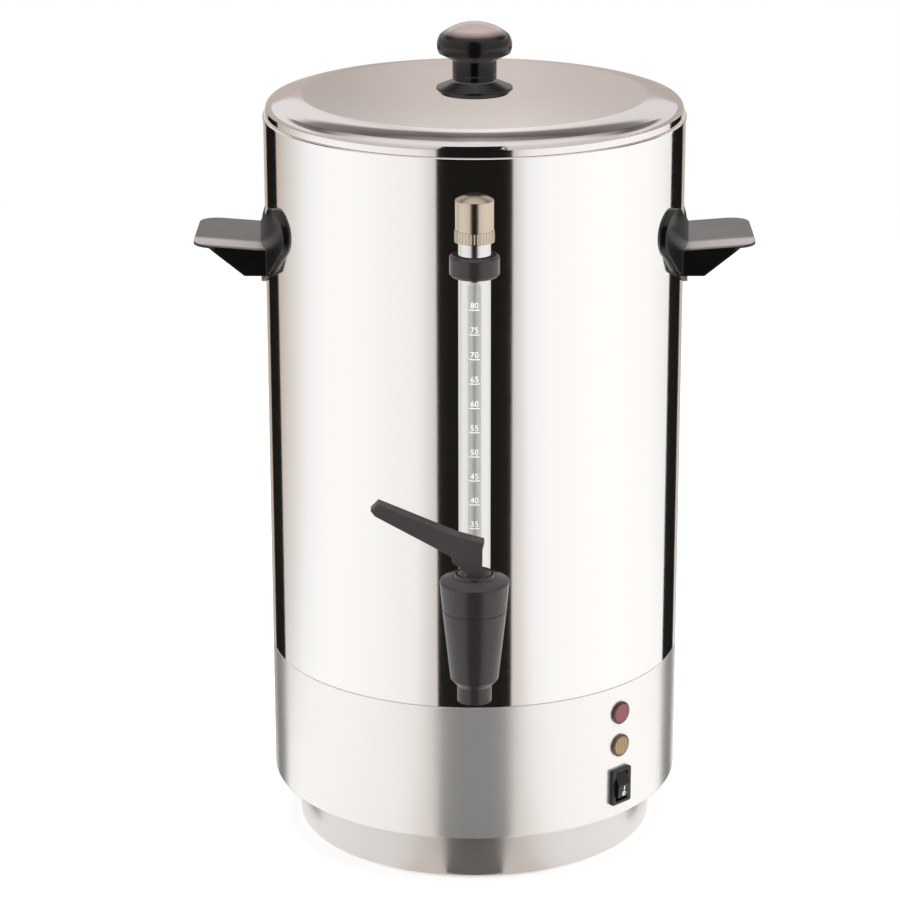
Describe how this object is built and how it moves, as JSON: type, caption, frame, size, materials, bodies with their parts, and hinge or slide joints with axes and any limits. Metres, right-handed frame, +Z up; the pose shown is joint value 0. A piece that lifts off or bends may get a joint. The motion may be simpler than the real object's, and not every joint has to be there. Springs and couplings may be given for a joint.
{
  "type": "hot water urn",
  "caption": "Electric urn that boils and keeps water hot, with a lever tap, a tube gauge, side handles, a lift-off lid and a front switch with lamps.",
  "frame": {"origin": "centre of the base on the tank's vertical centre line, at the height of the surface that the urn stands on", "axes": "+Z up, -Y towards the tap and gauge, +X towards the handle on the viewer's right"},
  "size_m": [0.3126, 0.3003, 0.47],
  "materials": {
    "tank_wall": "polished stainless steel",
    "lid_shell": "polished stainless steel",
    "tank_floor": "polished stainless steel",
    "base_band": "brushed stainless steel",
    "foot_ring": "brushed stainless steel",
    "bottom_cover": "zinc plated steel",
    "cover_tabs": "zinc plated steel",
    "wiring_rail": "zinc plated steel",
    "element_clamp": "zinc plated steel",
    "floor_stud": "zinc plated steel",
    "clamp_nut": "zinc plated steel",
    "cover_screws": "plain steel fastener",
    "inlet_screws": "plain steel fastener",
    "handle_screws": "plain steel fastener",
    "handle_washers": "plain steel fastener",
    "knob_screw": "plain steel fastener",
    "knob_washer": "plain steel fastener",
    "gauge_screw": "plain steel fastener",
    "earth_stud": "plain steel fastener",
    "heat_plate": "cast aluminium",
    "heating_element": "sheathed heating element, heat tinted",
    "boil_thermostat": "moulded phenolic",
    "warm_thermostat": "moulded phenolic",
    "safety_cutout": "moulded phenolic",
    "reset_button": "red moulded plastic",
    "terminal_block": "white moulded plastic",
    "inlet_body": "black moulded plastic",
    "inlet_pins": "plated brass",
    "switch_blades": "plated brass",
    "switch_housing": "black moulded plastic",
    "switch_rocker": "black moulded plastic",
    "red_lens": "red translucent lens",
    "amber_lens": "amber translucent lens",
    "lamp_bodies": "white moulded plastic",
    "lamp_clips": "spring steel",
    "rubber_feet": "black rubber",
    "tap_body": "black glossy moulded plastic",
    "tap_bonnet": "black glossy moulded plastic",
    "tap_lever": "black glossy moulded plastic",
    "gauge_collar": "black glossy moulded plastic",
    "lid_knob": "black glossy moulded plastic",
    "knob_base": "black glossy moulded plastic",
    "handle_left": "black glossy moulded plastic",
    "handle_right": "black glossy moulded plastic",
    "tap_stem": "turned stainless steel",
    "lever_pin": "turned stainless steel",
    "seat_cup": "moulded silicone",
    "tap_spring": "spring steel",
    "shank_nut": "nickel plated brass",
    "gauge_cap": "nickel plated brass",
    "tap_washer_outer": "moulded silicone",
    "tap_washer_inner": "moulded silicone",
    "gauge_lower_seal": "moulded silicone",
    "gauge_upper_seal": "moulded silicone",
    "gauge_guard": "polished tube",
    "gauge_glass": "clear glass tube"
  },
  "bodies": {
    "urn": {"foot_ring": "foot_ring", "base_band": "base_band", "bottom_cover": "bottom_cover", "cover_tabs": "cover_tabs", "cover_screws": "cover_screws", "rubber_feet": "rubber_feet", "tank_wall": "tank_wall", "tank_floor": "tank_floor", "floor_stud": "floor_stud", "heat_plate": "heat_plate", "heating_element": "heating_element", "element_clamp": "element_clamp", "clamp_nut": "clamp_nut", "boil_thermostat": "boil_thermostat", "warm_thermostat": "warm_thermostat", "safety_cutout": "safety_cutout", "wiring_rail": "wiring_rail", "terminal_block": "terminal_block", "earth_stud": "earth_stud", "inlet_body": "inlet_body", "inlet_pins": "inlet_pins", "inlet_screws": "inlet_screws", "switch_housing": "switch_housing", "switch_blades": "switch_blades", "red_lens": "red_lens", "amber_lens": "amber_lens", "lamp_bodies": "lamp_bodies", "lamp_clips": "lamp_clips", "tap_body": "tap_body", "tap_bonnet": "tap_bonnet", "tap_spring": "tap_spring", "shank_nut": "shank_nut", "tap_washer_outer": "tap_washer_outer", "tap_washer_inner": "tap_washer_inner", "gauge_guard": "gauge_guard", "gauge_glass": "gauge_glass", "gauge_collar": "gauge_collar", "gauge_screw": "gauge_screw", "gauge_lower_seal": "gauge_lower_seal", "gauge_upper_seal": "gauge_upper_seal", "handle_left": "handle_left", "handle_right": "handle_right", "handle_screws": "handle_screws", "handle_washers": "handle_washers"},
    "lid": {"lid_shell": "lid_shell", "lid_knob": "lid_knob", "knob_base": "knob_base", "knob_screw": "knob_screw", "knob_washer": "knob_washer"},
    "plunger": {"seat_cup": "seat_cup"},
    "stem": {"tap_stem": "tap_stem"},
    "lever": {"tap_lever": "tap_lever", "lever_pin": "lever_pin"},
    "rocker": {"switch_rocker": "switch_rocker"},
    "cap": {"gauge_cap": "gauge_cap"},
    "reset": {"reset_button": "reset_button"}
  },
  "joints": [
    {"name": "lid_lift", "type": "slide", "parent": "urn", "child": "lid", "axis": [0, 0, 1], "range_m": [0, 0.12]},
    {"name": "tap_lift", "type": "slide", "parent": "urn", "child": "plunger", "axis": [0, 0, 1], "range_m": [0, 0.00207], "stiffness_N_per_m": 600, "springref_m": -0.002, "deforming": ["tap_spring"]},
    {"name": "tap_swivel", "type": "hinge", "parent": "plunger", "child": "stem", "pos_m": [0, -0.16, 0.19], "axis": [0, 0, 1], "range_deg": [-40, 220]},
    {"name": "lever_tilt", "type": "hinge", "parent": "stem", "child": "lever", "pos_m": [0, -0.16, 0.2027], "axis": [0, -1, 0], "range_deg": [0, 33]},
    {"name": "switch_rock", "type": "hinge", "parent": "urn", "child": "rocker", "pos_m": [0.07982, -0.08209, 0.0496], "axis": [0.7169, 0.6972, 0], "range_deg": [0, 22]},
    {"name": "cap_lift", "type": "slide", "parent": "urn", "child": "cap", "axis": [0, 0, 1], "range_m": [0, 0.03]},
    {"name": "reset_press", "type": "slide", "parent": "urn", "child": "reset", "axis": [0, 0, 1], "range_m": [0, 0.0015], "stiffness_N_per_m": 400, "springref_m": -0.001}
  ],
  "couplings": [
    {"joint": "lever_tilt", "follows": "tap_lift", "rad_per_m": 277.78}
  ]
}
